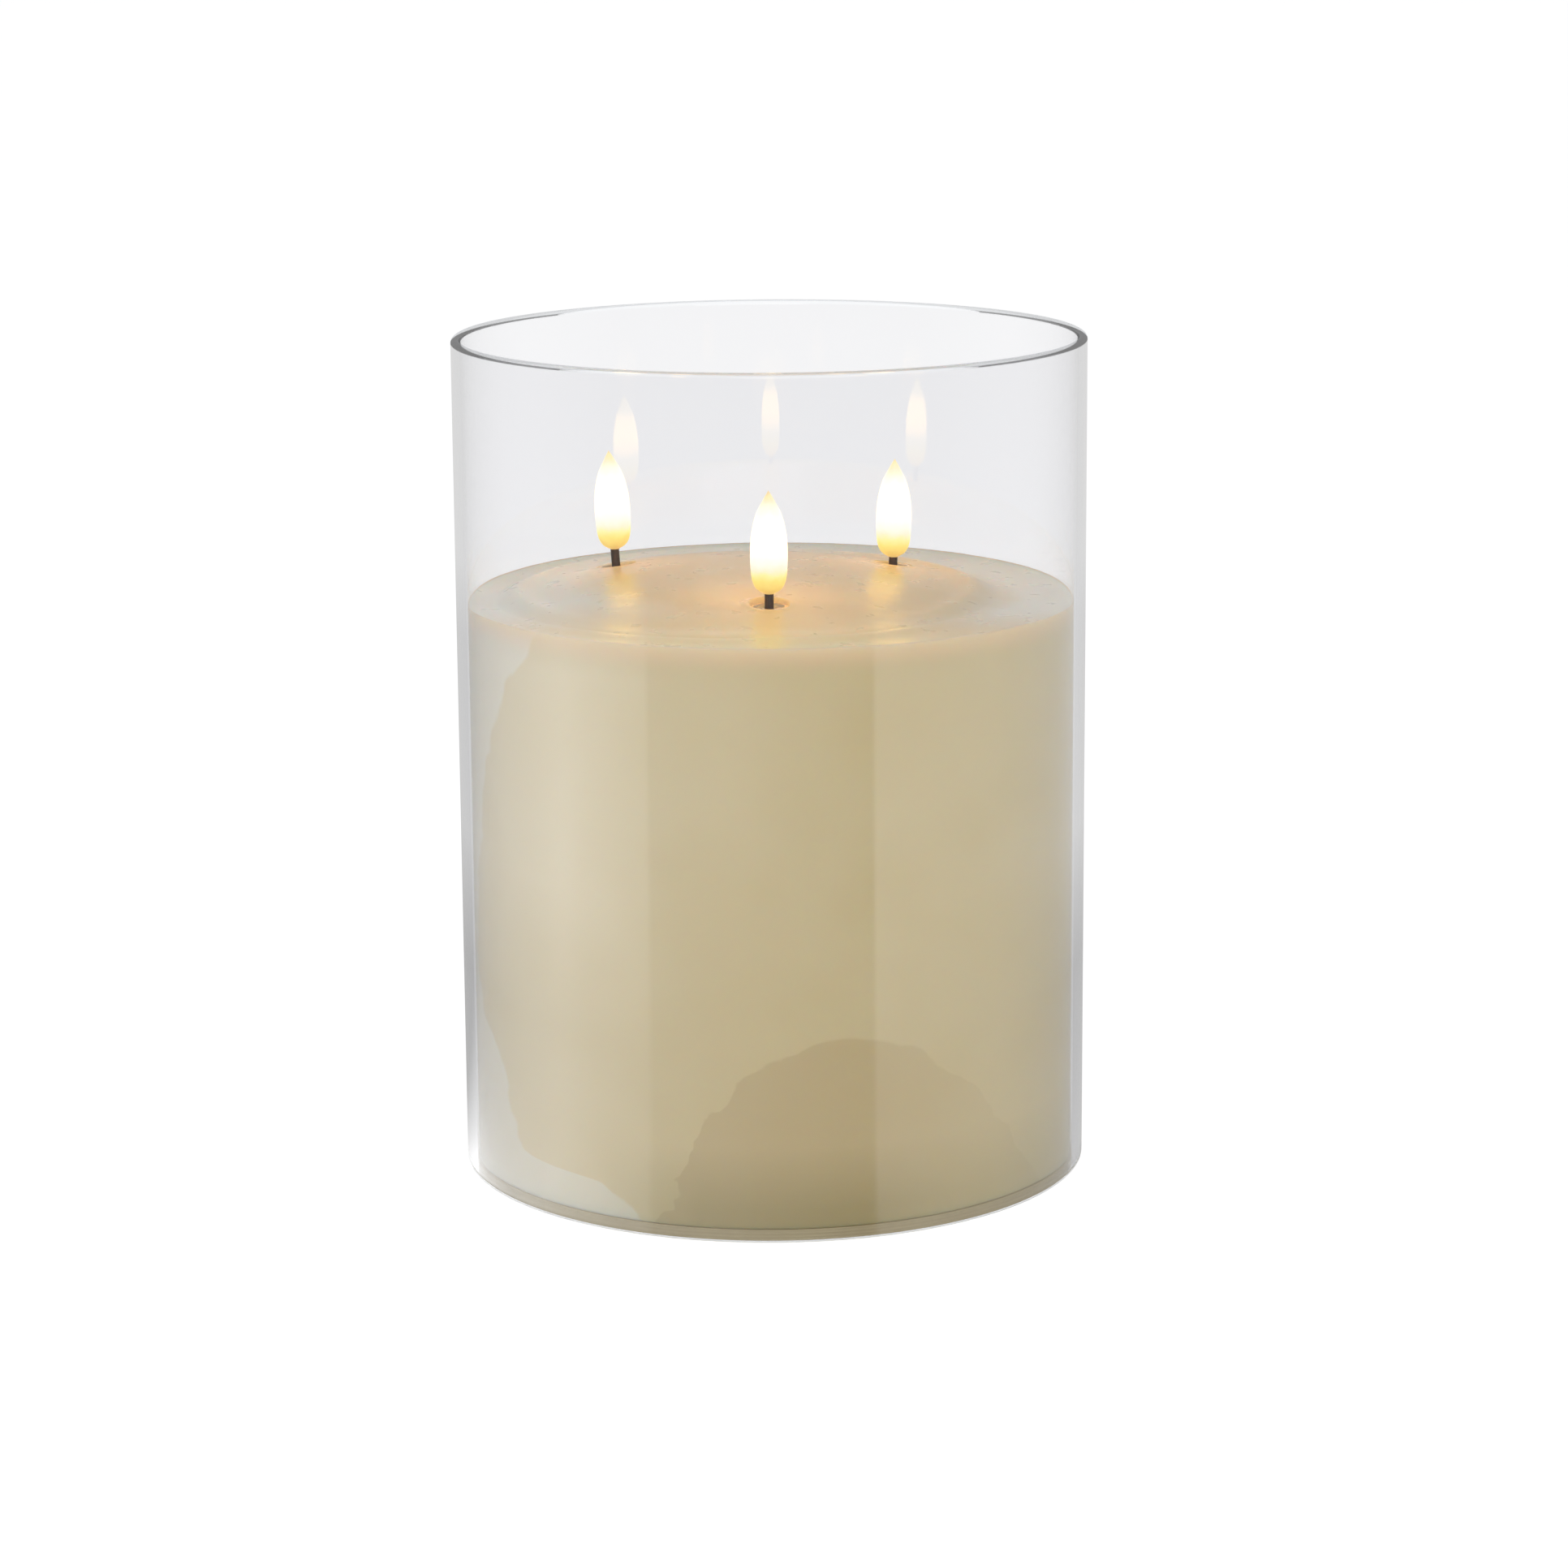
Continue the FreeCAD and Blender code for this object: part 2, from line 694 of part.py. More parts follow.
def make_switch():
    """A slide switch on the board, and the slider that carries its lever and comes out through the plate."""
    height = "board_bottom - 0.05 - switch_foot"
    housing = box("switch_length", "switch_width", height, 0, "board_middle", "switch_foot")
    channel = box("switch_travel + 3", 2, 3, 0, "board_middle", "switch_foot - 0.65")
    keep("switch_housing", cut(housing, channel))
    rest = "switch_travel / 2"
    cover_length = "(%s) + switch_travel + 0.8" % SLOT_LENGTH
    knob_height = "%s + 0.3 - knob_bottom" % PLATE_TOP
    cover = box(cover_length, "switch_width + 0.6", 0.9, rest, "board_middle", "%s + 0.15" % PLATE_TOP)
    knob = box("knob_length", "knob_width", knob_height, rest, "board_middle", "knob_bottom")
    lever = box(2.2, 1.4, 2.6, rest, "board_middle", "%s + 0.8" % PLATE_TOP)
    ridges = [
        box(0.5, "knob_width + 1", 0.35, "%s + %s" % (rest, offset), "board_middle", "knob_bottom - 0.05")
        for offset in ("1.0", "0", "(0 - 1.0)")
    ]
    keep("switch_slider", cut(fuse(cover, knob, lever), *ridges))


# ---- lights ---------------------------------------------------------------------------------------


def light_list():
    """Each light's name, place in the wax as rules, lean and board pad."""
    found = []
    for name, pad in (("front", 0), ("left", -12), ("right", 12)):
        x, y = name + "_x", name + "_y"
        surface = "(%s - collar_sink)" % wax_height("(%s - dome_shift)^2 + %s^2" % (x, y))
        lean = FreeCAD.Rotation(FreeCAD.Vector(0, 1, 0), number("lean_" + name))
        found.append({"name": name, "x": x, "y": y, "z": surface, "lean": lean, "pad": pad})
    return found


def make_collar(light):
    """The socket that a stem stands in: a spigot in the core's roof and a shallow dish at the wax surface."""
    top = "%s - core_top" % light["z"]
    body = turned(
        [
            ("collar_bore", "0 - 5"),
            ("spigot_radius", "0 - 5"),
            ("spigot_radius", 0),
            ("collar_radius", 0),
            ("collar_radius", top),
            ("collar_radius - 0.7", top),
            ("collar_radius - 1.3", top + " - 0.5"),
            ("collar_bore", top + " - 0.5"),
        ]
    )
    keep("collar_" + light["name"], place(body, light["x"], light["y"], "core_top + 0.02"))


def make_stem(light):
    top = "stem_%s + stem_grip" % light["name"]
    body = turned(
        [
            ("stem_bore", "0 - stem_depth"),
            ("stem_radius", "0 - stem_depth"),
            ("stem_radius", top),
            ("stem_bore", top),
        ]
    )
    keep("wick_" + light["name"], place(body, light["x"], light["y"], light["z"], light["lean"]))


def make_led(light):
    foot = "stem_%s + stem_grip + 0.05" % light["name"]
    shoulder = foot + " + led_length"
    body = turned(
        [
            (0, foot),
            ("led_radius", foot),
            ("led_radius", shoulder, "led_radius * cos(45)", shoulder + " + led_radius * sin(45)"),
            (0, shoulder + " + led_radius"),
        ]
    )
    keep("led_" + light["name"], place(body, light["x"], light["y"], light["z"], light["lean"]))


# Flame outline from mouth to tip, as shares of the flame's radius and height.
FLAME_SHAPE = ((0.70, 0.055), (0.93, 0.16), (1.0, 0.37), (0.93, 0.58), (0.68, 0.77), (0.30, 0.91), (0.0, 1.0))


def flame_side(mouth, foot, radius, height):
    points = [FreeCAD.Vector(mouth, 0, foot)]
    points += [FreeCAD.Vector(radius * wide, 0, foot + height * high) for wide, high in FLAME_SHAPE]
    curve = Part.BSplineCurve()
    curve.interpolate(points)
    return curve.toShape(), points


def make_flame(light):
    """A thin flame-shaped shell with a mouth for the stem."""
    mouth = number("stem_radius + 0.05")
    radius = number("flame_radius")
    wall = number("flame_wall")
    height = number("flame_height")
    foot = number("stem_" + light["name"])
    outside, outer = flame_side(mouth, foot, radius, height)
    inside, inner = flame_side(mouth, foot + wall, radius - wall, height - 3 * wall)
    tip = Part.LineSegment(outer[-1], inner[-1]).toShape()
    lip = Part.LineSegment(inner[0], outer[0]).toShape()
    face = Part.Face(Part.Wire(Part.__sortEdges__([outside, tip, inside, lip])))
    shell = face.revolve(FreeCAD.Vector(), FreeCAD.Vector(0, 0, 1), 360)
    keep("flame_" + light["name"], place(solid(shell), light["x"], light["y"], light["z"], light["lean"]))


# ---- wires ----------------------------------------------------------------------------------------


def wire_along(label, points, radius):
    """A round wire along straight runs joined by tangent arcs. Prints its radii and checks its volume."""
    points = [FreeCAD.Vector(*point) for point in points]
    edges = []
    radii = []
    start = points[0]
    for before, corner, after in zip(points, points[1:], points[2:]):
        inward, outward = corner - before, after - corner
        half_turn = inward.getAngle(outward) / 2
        reach = 0.45 * min(inward.Length, outward.Length)
        bend = reach / math.tan(half_turn)
        inward.normalize()
        outward.normalize()
        first, last = corner - inward * reach, corner + outward * reach
        to_centre = (outward - inward).normalize()
        middle = corner + to_centre * (bend / math.cos(half_turn) - bend)
        edges.append(Part.LineSegment(start, first).toShape())
        edges.append(Part.Arc(first, middle, last).toShape())
        radii.append(round(bend, 1))
        start = last
    edges.append(Part.LineSegment(start, points[-1]).toShape())
    path = Part.Wire(edges)
    section = Part.Wire(Part.Circle(points[0], points[1] - points[0], radius).toShape())
    tube = path.makePipeShell([section], True, True)
    share = tube.Volume / (math.pi * radius**2 * path.Length)
    print("%s: length %.1f, arc radii %s, volume share %.4f" % (label, path.Length, radii, share))
    return tube


def make_leads():
    """From the end contacts' solder tabs, over the bay roof and down to the board."""
    radius = number("lead_radius")
    across = number(CONTACT_FACE) - radius - 0.05
    over = number("bay_top + bay_wall + lead_radius + 0.3")
    drop_y = number("board_middle + board_width / 2 - 3")
    front = number("bay_middle - bay_width / 2 - bay_wall - 3")
    down = number(BOARD_TOP) + 0.05
    for label, side, step in (("lead_positive", -1, -1), ("lead_negative", 1, 1)):
        start_y = number("bay_middle + cell_pitch * (%d)" % step)
        route = [
            (side * across, start_y + 1.2, over),
            (side * across, front, over),
            (side * (across - 6), drop_y - 2, over),
            (side * (across - 6), drop_y - 2, down),
        ]
        keep(label, solid(wire_along(label, route, radius)))


def make_twin_wires(light):
    """Two thin insulated wires from the board up the stem's bore to the LED."""
    radius = number("twin_radius")
    socket = FreeCAD.Vector(*(number(light[key]) for key in "xyz"))
    along = light["lean"].multVec(FreeCAD.Vector(0, 0, 1))
    across = light["lean"].multVec(FreeCAD.Vector(1, 0, 0))
    entry = socket - along * number("stem_depth + stem_entry")
    stop = socket + along * number("stem_%s + stem_grip" % light["name"])
    pad_y = number("board_middle + 4.5")
    rise_to = number("core_top * 0.55")
    gather = number("core_top * 0.84")
    tubes = []
    for side in (-1, 1):
        shift = side * (radius + 0.03)
        route = [
            (light["pad"] + shift, pad_y, number(BOARD_TOP) + 0.05),
            (light["pad"] + shift, pad_y, rise_to),
            (entry.x + shift, entry.y, gather),
        ]
        if abs(along.x) > 0.001:
            route.append(entry + across * shift)
        route.append(stop + across * shift)
        tubes.append(solid(wire_along("wires_" + light["name"], route, radius)))
    keep("wires_" + light["name"], group(tubes))


# ---- build, check and write -----------------------------------------------------------------------


def check_and_export():
    doc.recompute()
    for item in doc.Objects:
        if "Invalid" in item.State or "Error" in item.State:
            raise RuntimeError("%s (%s) did not build: %s" % (item.Name, item.Label, item.State))
    os.makedirs("parts", exist_ok=True)
    for label, item in NODES.items():
        shape = item.Shape
        if shape.isNull() or not shape.isValid() or not shape.Solids:
            raise RuntimeError("%s is not a valid solid" % label)
        bounds = shape.BoundBox
        print("%-22s solids %d  volume %9.1f  z %6.2f to %6.2f" % (
            label, len(shape.Solids), shape.Volume, bounds.ZMin, bounds.ZMax))
        shape.exportStep("parts/%s.step" % label)


LIGHTS = light_list()
make_glass()
make_wax(LIGHTS)
make_core(LIGHTS)
make_base_plate()
make_seal_and_feet()
make_screws()
make_door()
make_cells()
make_contacts()
make_springs()
make_board()
make_board_parts()
make_switch()
for one_light in LIGHTS:
    make_collar(one_light)
    make_stem(one_light)
    make_led(one_light)
    make_flame(one_light)
    make_twin_wires(one_light)
make_leads()
check_and_export()
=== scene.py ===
import math

import bmesh
import bpy
import numpy as np
from mathutils import Matrix, Vector, noise


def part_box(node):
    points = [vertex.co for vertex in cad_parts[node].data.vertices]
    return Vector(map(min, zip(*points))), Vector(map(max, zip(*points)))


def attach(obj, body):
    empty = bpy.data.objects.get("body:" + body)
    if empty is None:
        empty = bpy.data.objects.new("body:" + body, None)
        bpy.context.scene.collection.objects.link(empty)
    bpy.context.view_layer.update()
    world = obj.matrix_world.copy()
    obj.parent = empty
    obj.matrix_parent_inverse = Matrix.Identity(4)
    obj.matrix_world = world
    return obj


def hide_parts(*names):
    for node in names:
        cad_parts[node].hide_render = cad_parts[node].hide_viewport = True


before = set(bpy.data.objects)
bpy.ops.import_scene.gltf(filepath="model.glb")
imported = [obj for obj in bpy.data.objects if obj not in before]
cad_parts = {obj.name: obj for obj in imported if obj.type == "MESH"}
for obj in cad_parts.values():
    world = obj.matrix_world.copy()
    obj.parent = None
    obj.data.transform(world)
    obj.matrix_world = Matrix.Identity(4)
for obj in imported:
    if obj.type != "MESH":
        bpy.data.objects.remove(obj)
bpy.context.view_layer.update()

# Looks of a three-flame LED candle: domed wax in a clear glass cylinder. Metres, in the CAD part's frame.
# Helpers that shape meshes work in millimetres and turn them into metres at the end. Sizes below that the
# frame's boxes don't give repeat the CAD part's own. SUPPORT is the short step next to a rounded edge that
# keeps the smooth shading of the long face beside it clean.

MM = 0.001
LIGHTS = ("front", "left", "right")

GLASS_LOW, GLASS_HIGH = (np.array(corner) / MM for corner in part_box("glass_cylinder"))
WAX_LOW, WAX_HIGH = (np.array(corner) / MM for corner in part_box("wax_body"))
GLASS_RADIUS = GLASS_HIGH[0]
GLASS_WALL = 2.3
RIM_ROUND = 1.1
GLASS_FOOT_ROUND = 0.4
SUPPORT = 0.05
WAX_RADIUS = WAX_HIGH[0]
DOME_TOP = WAX_HIGH[2]
DOME_RISE = 7.0
DOME_RADIUS = 60.0
DOME_SHIFT = -6.0
MOAT = DOME_TOP - DOME_RISE
LIP = MOAT + 0.8
WELL_RADIUS = 4.45
CORE_HOLE_RADIUS = 58.2
CORE_HOLE_ROOF = 128.2
FLANGE_HOLE_RADIUS = 66.2
FLANGE_HOLE_HEIGHT = 1.6


# ---- meshes ---------------------------------------------------------------------------------------


def new_object(name, verts, faces):
    """A smooth-shaded piece from millimetre points, with its faces turned outwards."""
    mesh = bpy.data.meshes.new(name)
    mesh.from_pydata([tuple(v) for v in np.asarray(verts) * MM], [], faces)
    shell = bmesh.new()
    shell.from_mesh(mesh)
    bmesh.ops.recalc_face_normals(shell, faces=shell.faces)
    shell.to_mesh(mesh)
    shell.free()
    mesh.shade_smooth()
    item = bpy.data.objects.new(name, mesh)
    bpy.context.scene.collection.objects.link(item)
    return item


def lathe(profile, steps, closed):
    """Points and faces of a profile of (radius, height) turned about Z. A radius of 0 becomes one pole."""
    angles = np.arange(steps) * 2 * math.pi / steps
    verts, rows = [], []
    for radius, height in profile:
        if radius < 1e-6:
            rows.append([len(verts)] * steps)
            verts.append((0.0, 0.0, height))
            continue
        rows.append(list(range(len(verts), len(verts) + steps)))
        verts += [(radius * math.cos(a), radius * math.sin(a), height) for a in angles]
    pairs = list(zip(rows, rows[1:])) + ([(rows[-1], rows[0])] if closed else [])
    faces = []
    for lower, upper in pairs:
        for k in range(steps):
            corners = [lower[k], lower[(k + 1) % steps], upper[(k + 1) % steps], upper[k]]
            face = list(dict.fromkeys(corners))
            if len(face) > 2:
                faces.append(face)
    return np.array(verts), faces


def arc(centre, radius, start, stop, count):
    """Points on a circle in the profile plane, from one angle to another in degrees."""
    return [
        (centre[0] + radius * math.cos(math.radians(a)), centre[1] + radius * math.sin(math.radians(a)))
        for a in np.linspace(start, stop, count)
    ]


def smooth_curve(points, count):
    """A Catmull-Rom curve through profile points, with count steps for each span."""
    points = [np.array(p, float) for p in points]
    ends = [2 * points[0] - points[1], *points, 2 * points[-1] - points[-2]]
    out = []
    for p0, p1, p2, p3 in zip(ends, ends[1:], ends[2:], ends[3:]):
        for t in np.arange(count) / count:
            out.append(0.5 * (2 * p1 + (p2 - p0) * t + (2 * p0 - 5 * p1 + 4 * p2 - p3) * t**2
                              + (3 * p1 - p0 - 3 * p2 + p3) * t**3))
    out.append(points[-1])
    return [tuple(p) for p in out]


def middle(node):
    """The middle of a node's box, in millimetres."""
    low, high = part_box(node)
    return (Vector(low) + Vector(high)) / 2 / MM


def ripple(x, y, size, seed):
    """Smooth noise of about -1 to 1 that varies over size millimetres."""
    return noise.noise(Vector((x / size, y / size, seed)))


# ---- glass ----------------------------------------------------------------------------------------


def make_glass():
    inner = GLASS_RADIUS - GLASS_WALL
    low, high = GLASS_LOW[2], GLASS_HIGH[2]
    half = GLASS_WALL / 2
    foot = GLASS_FOOT_ROUND
    levels = [
        low + foot, low + foot + SUPPORT,
        *np.linspace(low + 1, high - 2, 12),
        high - half - SUPPORT, high - half,
    ]
    outside = [(GLASS_RADIUS, z) for z in levels]
    inside = [(inner, z) for z in reversed(levels)]
    rim = arc((GLASS_RADIUS - half, high - half), half, 0, 180, 13)[1:-1]
    foot_inside = arc((inner + foot, low + foot), foot, 180, 270, 5)[1:]
    foot_outside = arc((GLASS_RADIUS - foot, low + foot), foot, 270, 360, 5)[:-1]
    verts, faces = lathe(outside + rim + inside + foot_inside + foot_outside, 384, True)
    piece = new_object("glass", verts, faces)
    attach(piece, "candle")
    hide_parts("glass_cylinder")
    return piece


# ---- seal -----------------------------------------------------------------------------------------


def make_seal():
    """A soft ring that closes the gap between base plate and glass, with three wiping ribs on its outside."""
    low, high = (np.array(corner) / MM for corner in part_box("base_seal"))
    outer, inner = high[0], high[0] - 1.55
    bottom, top = GLASS_LOW[2] + 0.1, WAX_LOW[2] - 0.05
    ribs = 3
    wall = []
    for z in np.linspace(bottom + 0.1, top - 0.1, 8 * ribs + 1):
        share = (z - bottom) / (top - bottom)
        wall.append((outer - 0.03 + 0.03 * math.cos(2 * math.pi * ribs * share), z))
    profile = [(inner, bottom + 0.3), (inner + 0.3, bottom), (outer - 0.1, bottom), *wall,
               (outer - 0.1, top), (inner + 0.3, top), (inner, top - 0.3)]
    verts, faces = lathe(profile, 256, True)
    piece = new_object("seal_ring", verts, faces)
    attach(piece, "candle")
    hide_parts("base_seal")
    return piece


# ---- wax ------------------------------------------------------------------------------------------


def dome_height(radius):
    """Height of the ball cap that the dome is, at a distance from the dome's middle."""
    ball = (DOME_RADIUS**2 + DOME_RISE**2) / (2 * DOME_RISE)
    return DOME_TOP - ball + math.sqrt(ball**2 - radius**2)


def step(value, low, high):
    """0 below low, 1 above high, and smooth between."""
    t = min(1.0, max(0.0, (value - low) / (high - low)))
    return t * t * (3 - 2 * t)


def wax_top(x, y, wells):
    """Height of the wax surface: a dome off the axis inside a shallow moat, with a thin lip at the glass."""
    radius = math.hypot(x, y)
    from_dome = math.hypot(x - DOME_SHIFT, y)
    edge = DOME_RADIUS + 1.2 * ripple(x, y, 30, 3.0)
    moat = MOAT - 0.12 * step(from_dome, edge, edge + 5)
    height = max(dome_height(min(from_dome, DOME_RADIUS)), moat) if from_dome < edge else moat
    shoulder = math.exp(-((from_dome - edge + 5.0) / 3.2) ** 2)
    crease = math.exp(-((from_dome - edge - 0.5) / 0.8) ** 2)
    filled = math.exp(-((from_dome - edge) / 5.0) ** 2)
    towards_front = step(-y, 15, 50)
    height += (1.2 * shoulder + 0.12 * crease) * (1 - towards_front) + 0.8 * filled * towards_front
    height += (LIP - MOAT) * math.exp(-(WAX_RADIUS - radius) / 0.9)
    height += 0.10 * ripple(x, y, 14, 5.0) + 0.035 * ripple(x, y, 3.5, 9.0)
    for well_x, well_y in wells:
        away = math.hypot(x - well_x, y - well_y)
        height += 0.22 * math.exp(-((away - WELL_RADIUS - 0.7) / 0.7) ** 2)
        height -= 1.2 * (1 - step(away, WELL_RADIUS - 0.25, WELL_RADIUS + 0.2))
    return height


def make_wax():
    """The wax fill: a finely meshed top, a side with a ragged lip, and the hollow round the core."""
    steps = 720
    corner = 0.25
    bottom = WAX_LOW[2]
    flange_top = bottom + FLANGE_HOLE_HEIGHT
    wells = [tuple(middle("collar_" + name))[:2] for name in LIGHTS]
    top = [(radius, 0.0) for radius in np.linspace(0, WAX_RADIUS - 0.9, 150)]
    top += [(radius, 0.0) for radius in np.linspace(WAX_RADIUS - 0.75, WAX_RADIUS - 0.05, 6)]
    side = [(WAX_RADIUS, z) for z in np.linspace(LIP - 0.5, bottom + corner, 60)]
    side += arc((WAX_RADIUS - corner, bottom + corner), corner, 0, -90, 8)[1:]
    hollow = [
        (FLANGE_HOLE_RADIUS, bottom),
        (FLANGE_HOLE_RADIUS, flange_top),
        (CORE_HOLE_RADIUS, flange_top),
        (CORE_HOLE_RADIUS, CORE_HOLE_ROOF),
        (0, CORE_HOLE_ROOF),
    ]
    verts, faces = lathe(top + side + hollow, steps, False)
    top_count = 1 + (len(top) - 1) * steps
    for index in range(top_count):
        x, y, _ = verts[index]
        verts[index][2] = wax_top(x, y, wells)
    lip_rows = range(top_count, top_count + steps)
    for index in lip_rows:
        x, y, _ = verts[index]
        verts[index][2] += 0.35 * ripple(x, y, 6, 1.0) + 0.2 * ripple(x, y, 1.6, 2.0)
    piece = new_object("wax", verts, faces)
    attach(piece, "candle")
    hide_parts("wax_body")
    return piece


# ---- flames and stems -----------------------------------------------------------------------------

FLAME_SHAPE = ((0.70, 0.055), (0.93, 0.16), (1.0, 0.37), (0.93, 0.58), (0.68, 0.77), (0.30, 0.91), (0.0, 1.0))


def make_flame(name):
    """A smooth flame-shaped bulb along its stem's axis, closed round the stem and open below."""
    foot_of_stem = middle("wick_" + name)
    axis = (middle("flame_" + name) - foot_of_stem).normalized()
    low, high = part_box("flame_" + name)
    radius = (high[1] - low[1]) / 2 / MM
    height = (high[2] - low[2]) / MM / axis.z
    start = foot_of_stem + axis * ((low[2] / MM - foot_of_stem.z) / axis.z)
    mouth = 1.1
    outer = smooth_curve([(mouth, 0.0)] + [(radius * wide, height * tall) for wide, tall in FLAME_SHAPE], 8)
    verts, faces = lathe([(mouth, 1.2), (mouth, 0.35), *outer], 64, False)
    turn = Vector((0, 0, 1)).rotation_difference(axis).to_matrix()
    placed = [turn @ Vector(v) + start for v in verts]
    piece = new_object("flame_bulb_" + name, placed, faces)
    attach(piece, "candle")
    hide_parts("flame_" + name)
    piece.data.materials.append(flame_material(name, start, axis, height))
    piece.visible_shadow = False
    return piece


# ---- shader helpers -------------------------------------------------------------------------------


def material(name):
    mat = bpy.data.materials.new(name)
    mat.use_nodes = True
    tree = mat.node_tree
    shader = next(node for node in tree.nodes if node.type == "BSDF_PRINCIPLED")
    return mat, tree, shader


def node(tree, kind, **values):
    """A shader node. A value sets the input or, failing that, the property of that name."""
    made = tree.nodes.new("ShaderNode" + kind)
    for key, value in values.items():
        key = key.replace("_", " ") if key.replace("_", " ") in made.inputs else key
        if key in made.inputs:
            made.inputs[key].default_value = value
        else:
            setattr(made, key, value)
    return made


def maths(tree, operation, *values, clamp=False):
    """One arithmetic step. A value is a number or a socket."""
    made = node(tree, "Math", operation=operation, use_clamp=clamp)
    for socket, value in zip(made.inputs, values):
        if isinstance(value, (int, float)):
            socket.default_value = value
        else:
            tree.links.new(value, socket)
    return made.outputs[0]


def ramp(tree, factor, stops, interpolation="LINEAR"):
    made = node(tree, "ValToRGB")
    band = made.color_ramp
    band.interpolation = interpolation
    while len(band.elements) < len(stops):
        band.elements.new(0.5)
    for element, (position, colour) in zip(band.elements, stops):
        element.position = position
        element.color = (*colour, 1.0) if len(colour) == 3 else colour
    tree.links.new(factor, made.inputs[0])
    return made.outputs[0]


def blend(tree, factor, low, high, mode="MIX"):
    """Mixes two colours, each given as a colour or a socket."""
    made = node(tree, "Mix", data_type="RGBA", blend_type=mode)
    factor_in, low_in, high_in = made.inputs[0], made.inputs[6], made.inputs[7]
    for socket, value in ((factor_in, factor), (low_in, low), (high_in, high)):
        if isinstance(value, (int, float)):
            socket.default_value = value
        elif isinstance(value, tuple):
            socket.default_value = (*value, 1.0)
        else:
            tree.links.new(value, socket)
    return made.outputs[2]


def place_in_mm(tree):
    """The surface point in the part's frame as three sockets, in millimetres."""
    where = node(tree, "TexCoord").outputs["Object"]
    scaled = node(tree, "VectorMath", operation="SCALE")
    scaled.inputs["Scale"].default_value = 1 / MM
    tree.links.new(where, scaled.inputs[0])
    split = node(tree, "SeparateXYZ")
    tree.links.new(scaled.outputs[0], split.inputs[0])
    return scaled.outputs[0], split.outputs[0], split.outputs[1], split.outputs[2]


def grain(tree, where, size, detail=3.0, roughness=0.5, stretch=(1.0, 1.0, 1.0)):
    """Noise of 0 to 1 with features of about size millimetres, stretched along an axis by its share."""
    scaled = node(tree, "VectorMath", operation="MULTIPLY")
    scaled.inputs[1].default_value = tuple(1 / (size * share) for share in stretch)
    tree.links.new(where, scaled.inputs[0])
    made = node(tree, "TexNoise", Scale=1.0, Detail=detail, Roughness=roughness)
    tree.links.new(scaled.outputs[0], made.inputs["Vector"])
    return made.outputs["Fac"]


def away_from(tree, x, y, centre=0.0):
    """Distance from the upright line through a point on the X axis, in millimetres."""
    aside = maths(tree, "SUBTRACT", x, centre)
    squares = maths(tree, "ADD", maths(tree, "POWER", aside, 2.0), maths(tree, "POWER", y, 2.0))
    return maths(tree, "SQRT", squares)


def wobble(tree, where, size, detail, reach):
    """Noise about zero that spans about reach, to make an edge uneven."""
    centred = maths(tree, "SUBTRACT", grain(tree, where, size, detail=detail), 0.5)
    return maths(tree, "MULTIPLY", centred, reach)


def rise(tree, value, start, slope):
    """0 up to start, then slope for each unit beyond it, up to 1."""
    return maths(tree, "MULTIPLY", maths(tree, "SUBTRACT", value, start), slope, clamp=True)


def product(tree, first, *others):
    for other in others:
        first = maths(tree, "MULTIPLY", first, other)
    return first


def share_of(tree, value, whole):
    return maths(tree, "DIVIDE", value, whole, clamp=True)


def grey_ramp(tree, factor, *stops):
    """A ramp of plain values: each stop is a position and a value."""
    return ramp(tree, factor, [(position, (value,) * 3) for position, value in stops])


def bump(tree, shader, height, strength, distance):
    made = node(tree, "Bump", Strength=strength, Distance=distance * MM)
    tree.links.new(height, made.inputs["Height"])
    tree.links.new(made.outputs["Normal"], shader.inputs["Normal"])
    return made


def curve(tree, value, points, low, high):
    """A smooth curve of value over low to high. Its points are shares of the range and results of 0 to 1."""
    made = node(tree, "FloatCurve")
    line = made.mapping.curves[0]
    line.points[0].location = points[0]
    line.points[-1].location = points[-1]
    for point in points[1:-1]:
        line.points.new(*point)
    made.mapping.update()
    share = share_of(tree, maths(tree, "SUBTRACT", value, low), high - low)
    tree.links.new(share, made.inputs["Value"])
    return made.outputs[0]


# ---- materials ------------------------------------------------------------------------------------


def mix_shaders(tree, factor, first, second):
    mixed = node(tree, "MixShader")
    for socket, source in zip(mixed.inputs, (factor, first, second)):
        tree.links.new(source, socket)
    return mixed.outputs[0]


def finish_with(tree, surface):
    output = next(item for item in tree.nodes if item.type == "OUTPUT_MATERIAL")
    tree.links.new(surface, output.inputs["Surface"])


